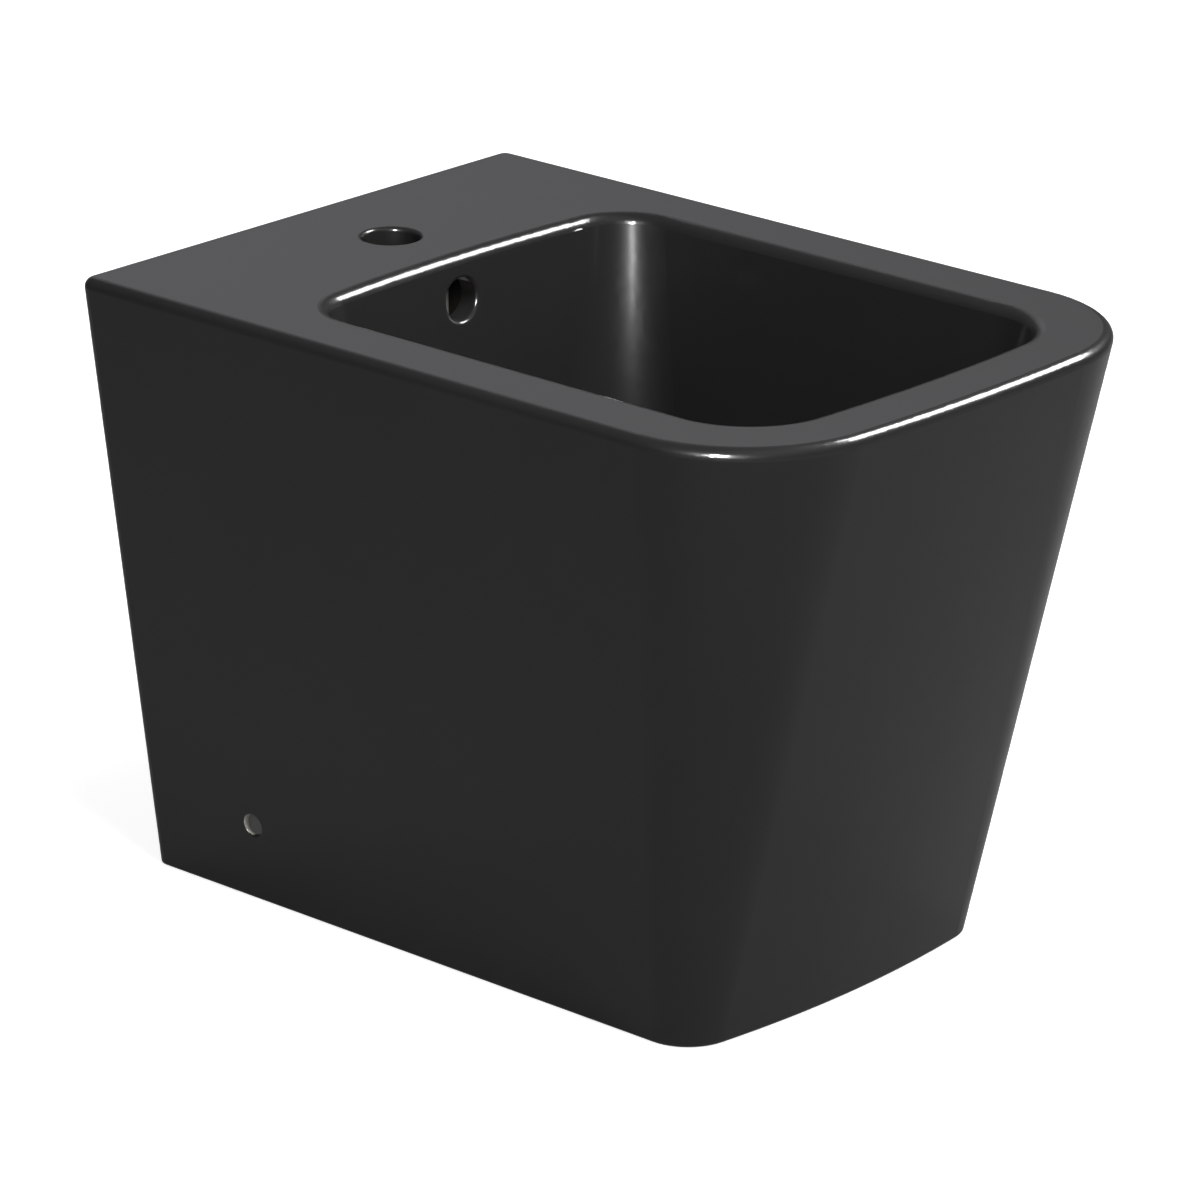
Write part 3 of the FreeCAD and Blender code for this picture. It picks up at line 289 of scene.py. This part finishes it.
looks = {
    "glaze_black": glaze_black(),
    "chrome": metal(
        "polished_chrome", dull=(0.60, 0.61, 0.63), bright=(0.80, 0.81, 0.82),
        smooth=0.04, grain=500.0, brushed=(1.0, 1.0, 1.0)),
    "brass": metal(
        "turned_brass", dull=(0.50, 0.33, 0.12), bright=(0.72, 0.52, 0.22),
        smooth=0.22, grain=700.0, brushed=(0.2, 0.2, 4.0)),
    "stainless": metal(
        "plain_stainless", dull=(0.42, 0.42, 0.41), bright=(0.62, 0.62, 0.60),
        smooth=0.24, grain=900.0, brushed=(0.3, 0.3, 3.0)),
    "rubber_black": moulded(
        "black_rubber", dark=(0.010, 0.010, 0.010), pale=(0.022, 0.021, 0.020), worn=(0.05, 0.048, 0.046),
        smooth=0.62, texture=1400.0, depth=0.0002),
    "trap_white": moulded(
        "white_polypropylene", dark=(0.66, 0.66, 0.63), pale=(0.76, 0.76, 0.74), worn=(0.84, 0.84, 0.82),
        smooth=0.28, texture=900.0, depth=0.0001),
    "nylon_grey": moulded(
        "grey_nylon", dark=(0.13, 0.135, 0.14), pale=(0.18, 0.185, 0.19), worn=(0.27, 0.275, 0.28),
        smooth=0.45, texture=1100.0, depth=0.00015),
    "cap_dark": moulded(
        "dark_cap_plastic", dark=(0.012, 0.012, 0.012), pale=(0.022, 0.022, 0.022), worn=(0.05, 0.05, 0.05),
        smooth=0.48, texture=1500.0, depth=0.00012),
}
for part in frame["record"]["subparts"]:
    node = frame["nodes"][part["node"]]
    node.data.materials.clear()
    node.data.materials.append(looks[part["material_slot"]])


def pressed_spring(node):
    """A copy of the coil spring, attached to the fixture in place of the hidden original."""
    coil = bpy.data.objects.new("plug_coil_spring", frame["nodes"][node].data.copy())
    bpy.context.scene.collection.objects.link(coil)
    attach(coil, "fixture")
    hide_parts(node)
    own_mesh(coil)


pressed_spring("plug_spring")


def ray_kinds(nodes):
    """The rays that the camera sends, and those that are mirrored or go through glass."""
    path = nodes.add("ShaderNodeLightPath").outputs
    return path["Is Camera Ray"], nodes.math("MAXIMUM", path["Is Glossy Ray"], path["Is Transmission Ray"])


def studio_floor():
    """Pale where the object stands and its shadow falls, and white further off, so that no horizon shows."""
    nodes = material_nodes("pale_floor")
    place = nodes.position()
    seen, mirrored = ray_kinds(nodes)
    pale = nodes.mix(nodes.noise(place, scale=1.5, detail=2.0), FLOOR_LOW, FLOOR_HIGH)
    tint = nodes.mix(seen, FLOOR_FOR_OTHER_RAYS, pale)
    reach = nodes.vector_math("LENGTH", place)
    seen_glow = nodes.remap(reach, low=1.0, high=5.0, to_low=0.75, to_high=0.9)
    glow = nodes.math("ADD", nodes.product(seen, seen_glow), nodes.product(mirrored, MIRRORED_FLOOR_GLOW))
    material = nodes.finish(Base_Color=tint, Roughness=0.9, Specular_IOR_Level=0.0,
                            Emission_Color=WHITE, Emission_Strength=glow)
    bpy.ops.mesh.primitive_plane_add(size=FLOOR_SIZE, location=(0.0, 0.0, -FLOOR_DROP))
    floor = bpy.context.object
    floor.name = "studio_floor"
    floor.data.materials.append(material)


def studio_world():
    """White for the camera, a low level for the shade, and a dim room with a bright rear wall for mirrors."""
    nodes = Nodes(bpy.data.worlds.new("white_studio"), "Background")
    seen, mirrored = ray_kinds(nodes)
    way = nodes.add("ShaderNodeTexCoord").outputs["Generated"]
    to_wall = nodes.vector_math("DOT_PRODUCT", way, TO_REAR_WALL)
    room = nodes.remap(to_wall, low=0.935, high=0.98, to_low=0.12, to_high=0.75)
    shade = nodes.product(nodes.inverse(mirrored), SHADE_LEVEL)
    level = nodes.math("MAXIMUM", seen, nodes.product(mirrored, room))
    tint = nodes.mix(mirrored, WHITE, MIRRORED_TINT)
    bpy.context.scene.world = nodes.finish(Color=tint, Strength=nodes.math("MAXIMUM", level, shade))


def softbox(name, direction, distance, width, height, watts, gloss_only=False, tilt=0.0):
    """A flat lamp that looks at the object from a direction, turned on its own axis by a tilt in degrees.

    It lights either the gloss alone or everything but the gloss.
    """
    lamp = bpy.data.lights.new(name, "AREA")
    lamp.shape = "RECTANGLE"
    lamp.size = width
    lamp.size_y = height
    lamp.energy = watts
    box = bpy.data.objects.new(name, lamp)
    bpy.context.scene.collection.objects.link(box)
    way = Vector(direction).normalized()
    box.location = Vector(LAMP_TARGET) + way * distance
    turn = way.to_track_quat("Z", "Y") @ Quaternion((0.0, 0.0, 1.0), math.radians(tilt))
    box.rotation_euler = turn.to_euler()
    box.visible_camera = False
    box.visible_diffuse = not gloss_only
    box.visible_glossy = gloss_only


def photo_camera():
    data = bpy.data.cameras.new("photo_camera")
    data.sensor_width = SENSOR_MM
    data.lens = LENS_MM
    camera = bpy.data.objects.new("photo_camera", data)
    bpy.context.scene.collection.objects.link(camera)
    right = Vector(CAMERA_RIGHT)
    up = Vector(CAMERA_UP)
    back = right.cross(up).normalized()
    turn = Matrix((right, up, back)).transposed().to_4x4()
    camera.matrix_world = Matrix.Translation(CAMERA_PLACE) @ turn
    bpy.context.scene.camera = camera


studio_floor()
studio_world()
softbox("key_panel", (-0.15, -0.62, 0.77), distance=3.0, width=1.6, height=1.6, watts=95.0)
softbox("overhead_softbox", (-0.21, -0.27, 0.94), distance=2.2, width=0.5, height=0.5, watts=17.0)
softbox("rear_fill", (0.35, 0.85, 0.40), distance=3.0, width=1.4, height=1.4, watts=42.0)
softbox("rim_panel", (0.65, -0.34, 0.66), distance=2.2, width=1.0, height=1.0, watts=190.0,
        gloss_only=True, tilt=-53.0)
softbox("corner_strip", (-0.85, -0.40, 0.36), distance=2.6, width=0.35, height=0.9, watts=440.0,
        gloss_only=True)
photo_camera()
bpy.context.scene.view_settings.view_transform = "Standard"
